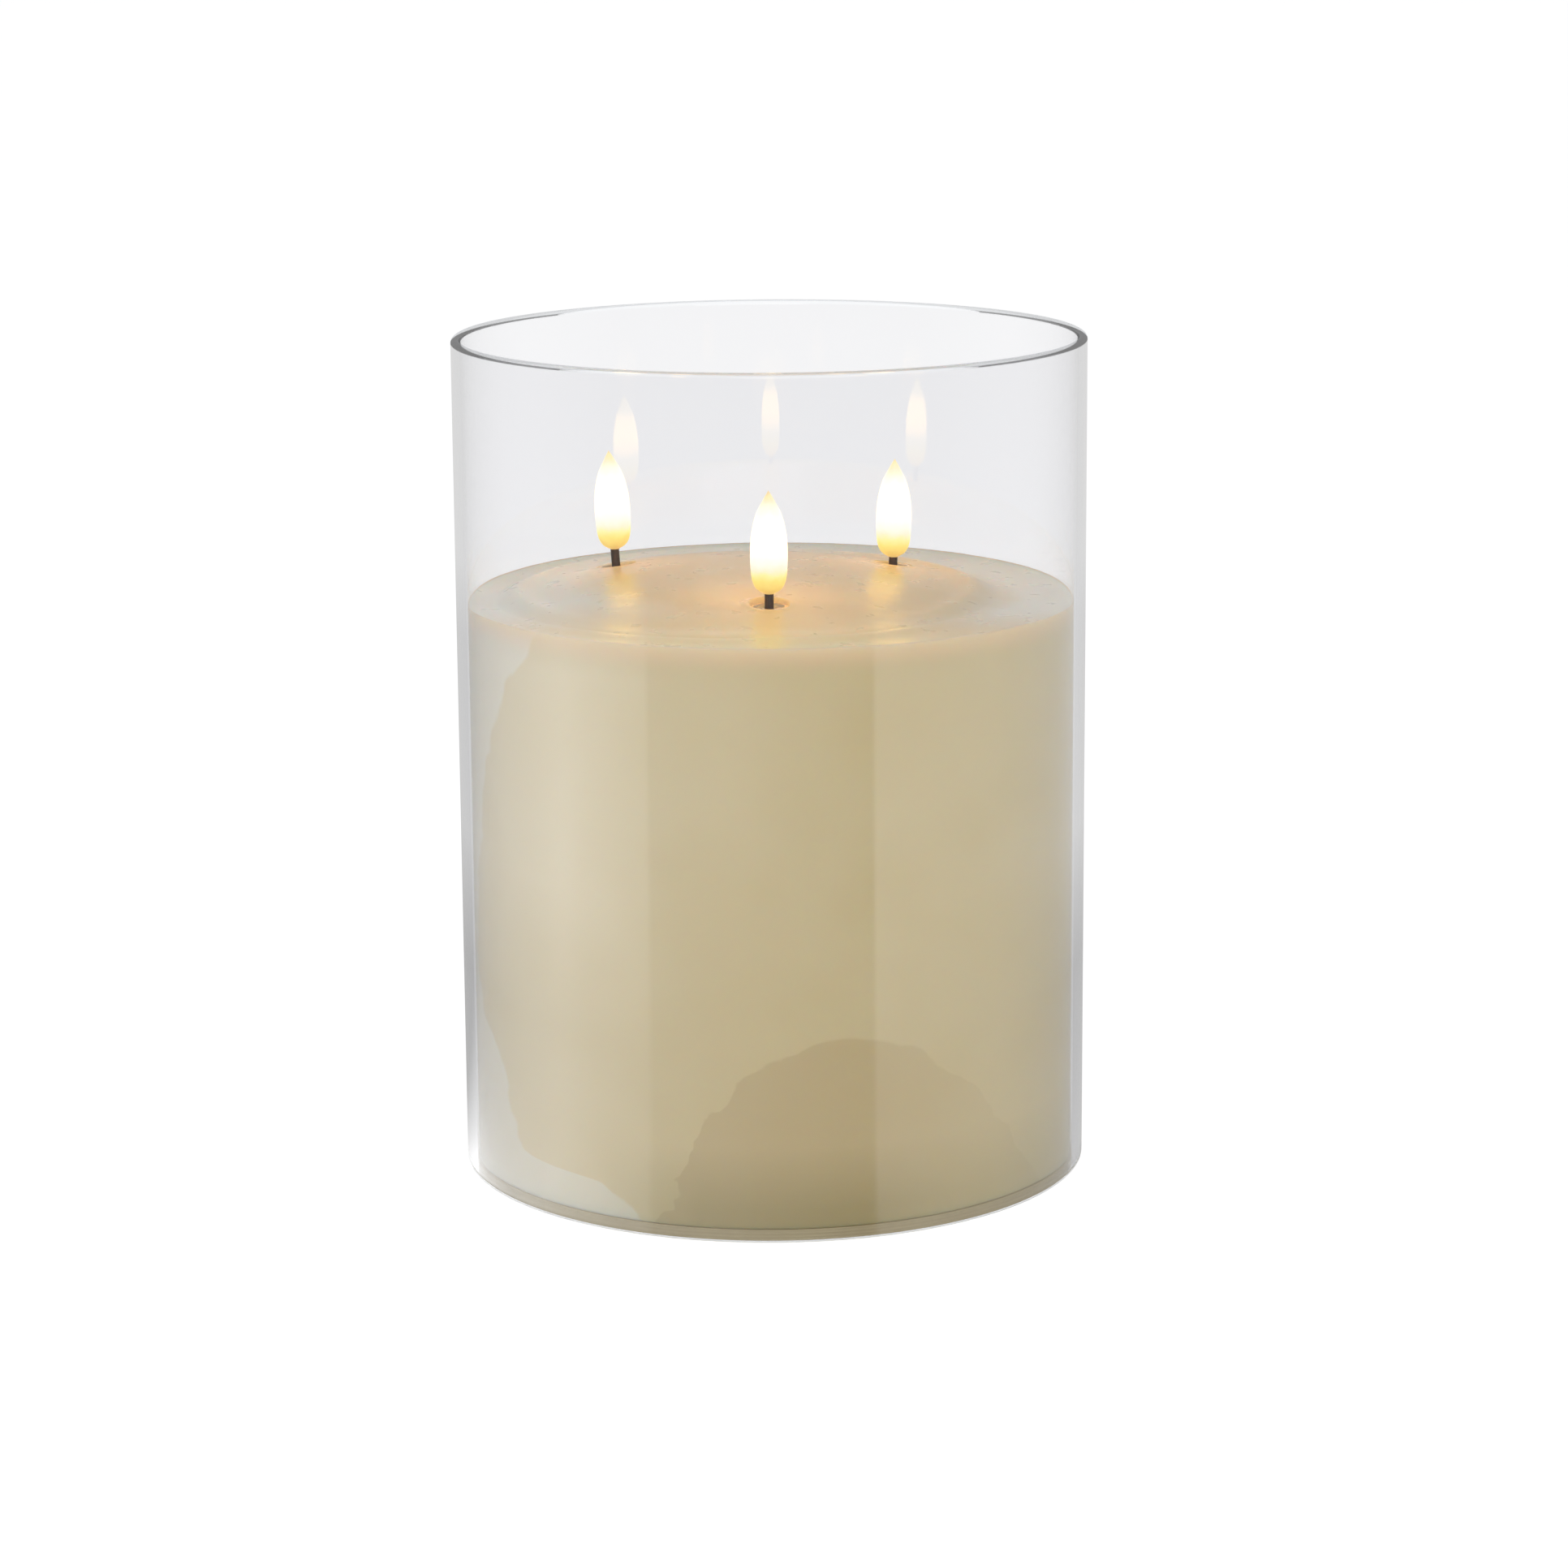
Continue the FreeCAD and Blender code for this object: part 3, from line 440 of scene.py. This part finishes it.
def glass_material():
    """Clear glass. Light that falls on the wax goes through it unbent, so lamps outside reach the wax."""
    mat, tree, shader = material("clear_glass")
    shader.inputs["Base Color"].default_value = (0.945, 0.945, 0.955, 1)
    shader.inputs["Transmission Weight"].default_value = 1.0
    shader.inputs["IOR"].default_value = 1.5
    where, x, y, z = place_in_mm(tree)
    dust = grain(tree, where, 1.2, detail=4.0)
    tree.links.new(grey_ramp(tree, dust, (0.70, 0.0), (0.80, 0.05)), shader.inputs["Roughness"])

    # the rounded rim and foot are mostly see-through, which keeps their lines thin
    path = node(tree, "LightPath")
    above_rim = maths(tree, "SUBTRACT", z, GLASS_HIGH[2] - RIM_ROUND - 0.1)
    below_foot = maths(tree, "SUBTRACT", GLASS_LOW[2] + 0.5, z)
    ground_edge = maths(tree, "MULTIPLY", maths(tree, "MAXIMUM", above_rim, below_foot), 5.0, clamp=True)
    passes = maths(tree, "MAXIMUM", path.outputs["Is Shadow Ray"], path.outputs["Is Diffuse Ray"])
    passes = maths(tree, "MAXIMUM", passes, maths(tree, "MULTIPLY", ground_edge, 0.7))
    clear = node(tree, "BsdfTransparent", Color=(0.95, 0.96, 0.97, 1))
    surface = mix_shaders(tree, passes, shader.outputs[0], clear.outputs[0])

    # light that has run along inside the wall for a while ends in a painted pale glow instead of being lost
    trapped = maths(tree, "GREATER_THAN", path.outputs["Ray Depth"], 5.5)
    pale = node(tree, "Emission", Color=(0.80, 0.79, 0.78, 1), Strength=0.85)
    mat.cycles.emission_sampling = "NONE"
    finish_with(tree, mix_shaders(tree, trapped, surface, pale.outputs[0]))
    return mat


def haze_mask(tree, wavy, z):
    """The haze on the left: its edge runs down the side, leaning outwards to the middle of the height."""
    edge = curve(
        tree, z,
        [(0.0, 0.86), (0.08, 0.70), (0.10, 0.46), (0.21, 0.40), (0.37, 0.24),
         (0.66, 0.30), (0.89, 0.42), (0.98, 0.54), (1.0, 0.58)],
        0.0, 138.0,
    )
    edge_angle = maths(tree, "SUBTRACT", maths(tree, "MULTIPLY", edge, 80.0), 90.0)
    return rise(tree, edge_angle, wavy, 0.8)


def cling_mask(tree, wavy, z):
    """The round patch low on the front where the wax clings to the glass."""
    high = curve(
        tree, wavy,
        [(0.0, 0.0), (0.04, 0.20), (0.14, 0.56), (0.32, 0.80),
         (0.45, 0.84), (0.70, 0.62), (0.90, 0.22), (1.0, 0.0)],
        -22.0, 60.0,
    )
    return rise(tree, maths(tree, "MULTIPLY", high, 57.0), z, 1.4)


def side_colour_and_shade(tree, base, where, x, y, z, on_side):
    """The wax as seen through the glass, with painted shade low down at the front. Angles are in degrees from
    the front, positive to the right.
    """
    angle = maths(tree, "DEGREES", maths(tree, "ARCTAN2", x, maths(tree, "MULTIPLY", y, -1.0)))
    wavy = maths(tree, "ADD", angle, wobble(tree, where, 9, 6.0, 9.0))
    haze = product(tree, haze_mask(tree, wavy, z), on_side)
    cling = product(tree, cling_mask(tree, wavy, z), on_side)
    fading = grey_ramp(tree, share_of(tree, angle, 60.0), (0.2, 0.8), (0.7, 0.3))
    base = blend(tree, product(tree, cling, fading), base, (0.68, 0.53, 0.28))
    base = blend(tree, product(tree, haze, 0.7), base, (0.84, 0.78, 0.62))

    # painted shade: the side is darker towards the bottom, most at the front
    low_down = grey_ramp(tree, share_of(tree, z, 30.0), (0.25, 1.0), (0.75, 0.0))
    turned = maths(tree, "ADD", maths(tree, "DIVIDE", wavy, 180.0), 0.5, clamp=True)
    facing = grey_ramp(tree, turned, (0.30, 0.0), (0.42, 1.0), (0.60, 1.0), (0.70, 0.6))
    shaded = blend(tree, 1.0, base, (0.74, 0.75, 0.68), "MULTIPLY")
    return blend(tree, product(tree, low_down, facing, on_side), base, shaded)


def painted_top_light(tree, base, where, x, y, on_top):
    """Painted flame light on the top: painted warm light makes it peach in the middle, a painted glow
    brighter towards the front, and a painted sheen paler round the other sides.
    """
    # painted light: the flames' warm light makes the top peach
    base = blend(tree, product(tree, on_top, 0.8), base, (0.83, 0.62, 0.32))
    # painted glow: brighter towards the front
    front_glow_mask = share_of(tree, maths(tree, "ADD", y, 40.0), -26.0)
    base = blend(tree, product(tree, front_glow_mask, on_top), base, (1.0, 0.80, 0.42))
    # painted sheen: paler round the other sides, away from the flames
    off_middle = maths(tree, "ADD", away_from(tree, x, y, 6.0), wobble(tree, where, 14, 4.0, 8.0))
    paler_sides = rise(tree, off_middle, 43.0, 0.09)
    behind = rise(tree, y, -48.0, 0.04)
    return blend(tree, product(tree, paler_sides, behind, on_top), base, (0.88, 0.83, 0.68))


def wax_material():
    """Cream paraffin, polished on top and satin on the side, with a painted glow of light through the wax
    near its lip.
    """
    mat, tree, shader = material("cream_wax")
    where, x, y, z = place_in_mm(tree)
    on_side = maths(tree, "GREATER_THAN", away_from(tree, x, y), WAX_RADIUS - 0.3)
    on_top = maths(tree, "SUBTRACT", 1.0, on_side)

    mottled = grain(tree, where, 26, detail=2.0)
    base = ramp(tree, mottled, [(0.35, (0.77, 0.63, 0.345)), (0.65, (0.79, 0.655, 0.375))])
    base = side_colour_and_shade(tree, base, where, x, y, z, on_side)
    base = painted_top_light(tree, base, where, x, y, on_top)
    # painted glow: the side turns warm and bright in a band just below the lip
    glow_depth = 6.0
    below_lip = share_of(tree, maths(tree, "SUBTRACT", z, LIP - glow_depth), glow_depth)
    painted_lip_glow = product(tree, maths(tree, "POWER", below_lip, 1.5), on_side)
    base = blend(tree, painted_lip_glow, base, (1.0, 0.72, 0.46))
    specks = grey_ramp(tree, grain(tree, where, 1.1, detail=2.0), (0.84, 0.0), (0.88, 0.45))
    base = blend(tree, specks, base, (0.45, 0.36, 0.24))
    tree.links.new(base, shader.inputs["Base Color"])

    shader.inputs["Subsurface Weight"].default_value = 0.7
    shader.inputs["Subsurface Radius"].default_value = (1.0, 0.62, 0.28)
    shader.inputs["Subsurface Scale"].default_value = 0.006
    shader.inputs["IOR"].default_value = 1.44
    shader.inputs["Specular IOR Level"].default_value = 0.45
    smear = grain(tree, where, 5, detail=5.0)
    satin = grey_ramp(tree, smear, (0.3, 0.42), (0.7, 0.55))
    polished = grey_ramp(tree, smear, (0.3, 0.26), (0.7, 0.34))
    tree.links.new(blend(tree, on_top, satin, polished), shader.inputs["Roughness"])
    fine = grain(tree, where, 0.8, detail=2.0)
    broad = grain(tree, where, 6, detail=1.0)
    height = maths(tree, "ADD", maths(tree, "MULTIPLY", fine, 0.08), broad)
    bump(tree, shader, height, 0.13, 0.25)
    return mat


def flame_material(name, foot, axis, height):
    """Frosted shell lit from inside: a deep yellow foot, a white middle and a warm tip.

    It glows warmer and stronger where a mirror-like surface shows it.
    """
    mat, tree, shader = material("flame_" + name)
    where, x, y, z = place_in_mm(tree)
    along = node(tree, "VectorMath", operation="DOT_PRODUCT")
    offset = node(tree, "VectorMath", operation="SUBTRACT")
    tree.links.new(where, offset.inputs[0])
    offset.inputs[1].default_value = tuple(foot)
    tree.links.new(offset.outputs[0], along.inputs[0])
    along.inputs[1].default_value = tuple(axis)
    cloudy = wobble(tree, where, 2.5, 3.0, 0.08)
    share = maths(tree, "ADD", maths(tree, "DIVIDE", along.outputs["Value"], height), cloudy)
    glow = ramp(tree, share, [
        (0.00, (0.29, 0.17, 0.054)), (0.04, (0.307, 0.204, 0.048)), (0.14, (0.363, 0.289, 0.070)),
        (0.19, (0.363, 0.333, 0.130)), (0.25, (0.363, 0.344, 0.259)), (0.31, (0.40, 0.37, 0.33)),
        (0.38, (0.70, 0.55, 0.38)), (0.50, (1.0, 0.72, 0.40)), (0.72, (1.0, 0.72, 0.40)),
        (0.83, (0.45, 0.40, 0.32)), (0.90, (0.37, 0.33, 0.235)), (0.96, (0.36, 0.31, 0.16)),
        (1.00, (0.33, 0.22, 0.11)),
    ])
    mirrored = maths(tree, "GREATER_THAN", node(tree, "LightPath").outputs["Glossy Depth"], 0.5)
    warmer = blend(tree, 1.0, glow, (1.0, 0.88, 0.55), "MULTIPLY")
    tree.links.new(blend(tree, mirrored, glow, warmer), shader.inputs["Emission Color"])
    strength = 2.7
    tree.links.new(maths(tree, "ADD", strength, mirrored), shader.inputs["Emission Strength"])
    shader.inputs["Base Color"].default_value = (0.25, 0.20, 0.12, 1)
    shader.inputs["Roughness"].default_value = 0.35
    return mat


def stem_material():
    """Dark brown sleeve with fine lengthwise fibres and a worn sheen."""
    mat, tree, shader = material("wick_sleeve")
    where, x, y, z = place_in_mm(tree)
    fibres = grain(tree, where, 0.35, detail=3.0, stretch=(1.0, 1.0, 8.0))
    colour = ramp(tree, fibres, [(0.35, (0.018, 0.010, 0.006)), (0.7, (0.075, 0.040, 0.022))])
    tree.links.new(colour, shader.inputs["Base Color"])
    tree.links.new(grey_ramp(tree, fibres, (0.3, 0.35), (0.7, 0.6)), shader.inputs["Roughness"])
    bump(tree, shader, fibres, 0.5, 0.05)
    return mat


def moulded(name, dark, light, roughness, size=0.6, strength=0.25):
    """Moulded plastic: a faint mottle, a fine spark-eroded texture and small changes of gloss."""
    mat, tree, shader = material(name)
    where, x, y, z = place_in_mm(tree)
    flow = grain(tree, where, 18, detail=3.0)
    tree.links.new(ramp(tree, flow, [(0.3, dark), (0.7, light)]), shader.inputs["Base Color"])
    texture = grain(tree, where, size, detail=3.0)
    low, high = roughness
    tree.links.new(grey_ramp(tree, texture, (0.3, low), (0.7, high)), shader.inputs["Roughness"])
    bump(tree, shader, texture, strength, 0.05)
    return mat


def metal(name, dark, light, roughness, stretch):
    """Plated or drawn metal with fine directional marks."""
    mat, tree, shader = material(name)
    where, x, y, z = place_in_mm(tree)
    marks = grain(tree, where, 0.5, detail=4.0, stretch=stretch)
    tree.links.new(ramp(tree, marks, [(0.3, dark), (0.7, light)]), shader.inputs["Base Color"])
    low, high = roughness
    tree.links.new(grey_ramp(tree, marks, (0.3, low), (0.7, high)), shader.inputs["Roughness"])
    shader.inputs["Metallic"].default_value = 1.0
    bump(tree, shader, marks, 0.2, 0.02)
    return mat


def dress(node_name, mat):
    """Gives a carried-over CAD node a better material."""
    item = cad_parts[node_name]
    item.data.materials.clear()
    item.data.materials.append(mat)


def dress_cad_nodes():
    """Materials for every node whose CAD mesh is shown as it is."""
    shell = moulded("base_plastic", (0.70, 0.68, 0.62), (0.76, 0.745, 0.69), (0.38, 0.52))
    core = moulded("core_plastic", (0.72, 0.68, 0.58), (0.78, 0.75, 0.66), (0.45, 0.6), size=1.0)
    collar = moulded(
        "collar_plastic", (0.62, 0.49, 0.31), (0.70, 0.57, 0.38), (0.14, 0.26), size=1.5, strength=0.1
    )
    black = moulded("black_plastic", (0.012, 0.012, 0.013), (0.03, 0.03, 0.032), (0.4, 0.6))
    pads = moulded("pad_rubber", (0.50, 0.50, 0.50), (0.58, 0.58, 0.58), (0.55, 0.7), size=0.4)
    board = moulded("board", (0.010, 0.09, 0.035), (0.018, 0.14, 0.055), (0.25, 0.4), size=1.4)
    red = moulded("red_wire", (0.40, 0.016, 0.012), (0.52, 0.03, 0.02), (0.3, 0.4), size=1.5, strength=0.1)
    twin = moulded("twin_wire", (0.66, 0.63, 0.54), (0.74, 0.71, 0.62), (0.3, 0.4), size=1.5, strength=0.1)
    steel = metal("zinc_steel", (0.42, 0.43, 0.45), (0.60, 0.61, 0.63), (0.22, 0.38), (1.0, 1.0, 1.0))
    nickel = metal("nickel", (0.50, 0.49, 0.46), (0.66, 0.65, 0.62), (0.15, 0.32), (1.0, 6.0, 1.0))
    wrap = moulded(
        "cell_wrap", (0.02, 0.024, 0.03), (0.04, 0.045, 0.055), (0.2, 0.32), size=4.0, strength=0.08
    )
    epoxy = moulded("led_epoxy", (0.85, 0.70, 0.35), (0.95, 0.82, 0.5), (0.1, 0.2), size=3.0, strength=0.05)
    looks = {
        shell: ("base_plate", "battery_door"),
        core: ("core_housing",),
        black: ("switch_slider", "controller_chip", "drive_transistors", "resistors", "lead_negative"),
        pads: ("foot_pads",),
        board: ("circuit_board",),
        red: ("lead_positive",),
        steel: ("base_screws", "board_screws", "switch_housing", "timer_crystal"),
        nickel: ("contact_positive", "contact_negative", "contact_bridge_left", "contact_bridge_right",
                 "spring_front", "spring_middle", "spring_back"),
        wrap: ("cell_front", "cell_middle", "cell_back", "capacitor"),
        collar: tuple("collar_" + name for name in LIGHTS),
        stem_material(): tuple("wick_" + name for name in LIGHTS),
        twin: tuple("wires_" + name for name in LIGHTS),
        epoxy: tuple("led_" + name for name in LIGHTS),
    }
    for mat, names in looks.items():
        for node_name in names:
            dress(node_name, mat)


# ---- camera, floor and lights ---------------------------------------------------------------------


def make_camera():
    """Looks down on the candle from the front, at the angle and distance that its ellipses give."""
    distance, height = 1.01778, 0.3192
    pitch, yaw, roll = 0.2024, 0.0029, -0.0067
    ahead = Vector((math.sin(yaw), math.cos(yaw), 0))
    forward = ahead * math.cos(pitch) - Vector((0, 0, math.sin(pitch)))
    level = Vector((math.cos(yaw), -math.sin(yaw), 0))
    up = level.cross(forward)
    right = level * math.cos(roll) + up * math.sin(roll)
    up = right.cross(forward)
    data = bpy.data.cameras.new("camera")
    data.sensor_width = 36.0
    data.lens = 99.37
    data.shift_y = -0.05
    data.clip_start = 0.01
    data.clip_end = 100.0
    camera = bpy.data.objects.new("camera", data)
    turn = Matrix((right, up, -forward)).transposed().to_4x4()
    camera.matrix_world = Matrix.Translation((0, -distance, height)) @ turn
    bpy.context.scene.collection.objects.link(camera)
    bpy.context.scene.camera = camera


def by_ray(tree, seen, mirrored, felt):
    """Three shaders in one: what the camera sees, what mirror-like surfaces see and what lights the rest."""
    path = node(tree, "LightPath")
    has_bounced = maths(tree, "GREATER_THAN", path.outputs["Glossy Depth"], 0.5)
    has_scattered = maths(tree, "GREATER_THAN", path.outputs["Diffuse Depth"], 0.5)
    looked_at = mix_shaders(tree, has_bounced, seen.outputs[0], mirrored.outputs[0])
    return mix_shaders(tree, has_scattered, looked_at, felt.outputs[0])


def mirrored_floor(tree):
    """The studio as the glass mirrors it: bright cards left and right of a dark gap in front of the candle.

    The brightness goes by the angle round the glass mirror's focus, in degrees from the front. Far out on the
    floor it changes to the plain values of far.
    """
    where, x, y, z = place_in_mm(tree)
    focus = GLASS_RADIUS / 2 + 2.5
    ahead = maths(tree, "MULTIPLY", maths(tree, "ADD", y, focus), -1.0)
    angle = maths(tree, "DEGREES", maths(tree, "ARCTAN2", x, ahead))
    share = maths(tree, "ADD", maths(tree, "DIVIDE", angle, 360.0), 0.5)
    brightest = 3.4
    near = [
        (-180, 0.6), (-137, 0.6), (-120, 1.15), (-103, 1.9), (-81, 2.9), (-63, 2.4), (-49, 1.95),
        (-45.6, 1.8), (-45.2, 1.25), (-30, 0.98), (-15, 0.75), (0, 0.45), (15, 0.24), (33, 0.05),
        (37.0, 0.03), (37.4, 0.8), (59, 0.8), (81, 0.78), (123, 0.72), (180, 0.6),
    ]
    far = [(-180, 0.72), (-110, 0.7), (-60, 0.25), (60, 0.25), (110, 0.7), (180, 0.72)]
    close_by, far_off = (
        grey_ramp(tree, share, *((0.5 + degrees / 360, bright / brightest) for degrees, bright in stops))
        for stops in (near, far)
    )
    distance = maths(tree, "MULTIPLY", away_from(tree, x, y), MM)
    fade = grey_ramp(tree, distance, (0.72, 0.0), (0.90, 1.0))
    # painted shadow: what mirrors see of the floor is darker near the candle's foot
    painted_foot_shadow = grey_ramp(tree, distance, (0.10, 0.75), (0.22, 0.70), (0.38, 1.0))
    close_by = blend(tree, 1.0, close_by, painted_foot_shadow, "MULTIPLY")
    made = node(tree, "Emission", Strength=brightest)
    tree.links.new(blend(tree, fade, close_by, far_off), made.inputs["Color"])
    return made


def make_floor():
    """A pale floor with a faint contact shadow. From below it is clear, so the base can be looked at."""
    size = 20.0
    mesh = bpy.data.meshes.new("floor")
    corners = [(-size, -size, 0), (size, -size, 0), (size, size, 0), (-size, size, 0)]
    mesh.from_pydata(corners, [], [(0, 1, 2, 3)])
    floor = bpy.data.objects.new("floor", mesh)
    bpy.context.scene.collection.objects.link(floor)
    mat, tree, shown = material("pale_floor")
    shown.inputs["Base Color"].default_value = (0.5, 0.5, 0.5, 1)
    shown.inputs["Roughness"].default_value = 0.9
    shown.inputs["Specular IOR Level"].default_value = 0.0
    shown.inputs["Emission Color"].default_value = (1, 1, 1, 1)
    shown.inputs["Emission Strength"].default_value = 0.86
    felt = node(tree, "BsdfDiffuse", Color=(0.55, 0.55, 0.55, 1))
    surface = by_ray(tree, shown, mirrored_floor(tree), felt)
    from_below = node(tree, "NewGeometry").outputs["Backfacing"]
    clear = node(tree, "BsdfTransparent")
    finish_with(tree, mix_shaders(tree, from_below, surface, clear.outputs[0]))
    mesh.materials.append(mat)


def make_world():
    """White to the camera; to mirrors, dim at the front and brighter behind and overhead."""
    world = bpy.data.worlds.new("studio")
    bpy.context.scene.world = world
    world.use_nodes = True
    tree = world.node_tree
    tree.nodes.clear()
    seen = node(tree, "Background", Color=(1, 1, 1, 1), Strength=1.0)
    split = node(tree, "SeparateXYZ")
    tree.links.new(node(tree, "TexCoord").outputs["Generated"], split.inputs[0])
    mirrored = node(tree, "Background", Strength=1.0)
    behind = maths(tree, "ADD", maths(tree, "MULTIPLY", split.outputs[1], 1.5), 0.75, clamp=True)
    overhead = rise(tree, split.outputs[2], 0.25, 3.0)
    bright = maths(tree, "MAXIMUM", behind, overhead)
    sky = ramp(tree, bright, [(0.0, (0.25, 0.25, 0.26)), (1.0, (0.86, 0.87, 0.89))])
    tree.links.new(sky, mirrored.inputs["Color"])
    felt = node(tree, "Background", Color=(0.97, 0.98, 1.0, 1), Strength=0.27)
    output = node(tree, "OutputWorld")
    tree.links.new(by_ray(tree, seen, mirrored, felt), output.inputs["Surface"])


def softbox(name, azimuth, elevation, distance, width, height, power):
    """A large area light aimed at the candle. Azimuth 0 is the camera's side, positive to the right."""
    data = bpy.data.lights.new(name, "AREA")
    data.shape = "RECTANGLE"
    data.size, data.size_y = width, height
    data.energy = power
    lamp = bpy.data.objects.new(name, data)
    around, up = math.radians(azimuth), math.radians(elevation)
    aim = Vector((math.sin(around) * math.cos(up), -math.cos(around) * math.cos(up), math.sin(up)))
    lamp.location = aim * distance + Vector((0, 0, 0.1))
    lamp.rotation_euler = aim.to_track_quat("Z", "Y").to_euler()
    lamp.visible_camera = False
    bpy.context.scene.collection.objects.link(lamp)


def flame_lamp(name):
    """The light that comes out of a flame's shell and falls on the wax."""
    data = bpy.data.lights.new("lamp_" + name, "POINT")
    data.energy = 0.014
    data.color = (1.0, 0.52, 0.18)
    data.shadow_soft_size = 0.004
    lamp = bpy.data.objects.new("lamp_" + name, data)
    lamp.location = middle("flame_" + name) * MM
    lamp.visible_camera = False
    lamp.visible_glossy = False
    lamp.visible_transmission = False
    bpy.context.scene.collection.objects.link(lamp)


def make_lights():
    softbox("front_panel", 8, 20, 1.3, 1.0, 0.7, 5.6)
    softbox("top_panel", 0, 75, 1.3, 0.9, 0.9, 2.0)
    for light_name in LIGHTS:
        flame_lamp(light_name)


# ---- assembly -------------------------------------------------------------------------------------

make_camera()
make_world()
make_floor()
make_lights()
glass = make_glass()
glass.data.materials.append(glass_material())
wax = make_wax()
wax.data.materials.append(wax_material())
seal = make_seal()
seal.data.materials.append(moulded("silicone", (0.58, 0.47, 0.27), (0.64, 0.53, 0.31), (0.5, 0.65), size=2.0))
for light_name in LIGHTS:
    make_flame(light_name)
dress_cad_nodes()
bpy.context.scene.view_settings.view_transform = "Standard"
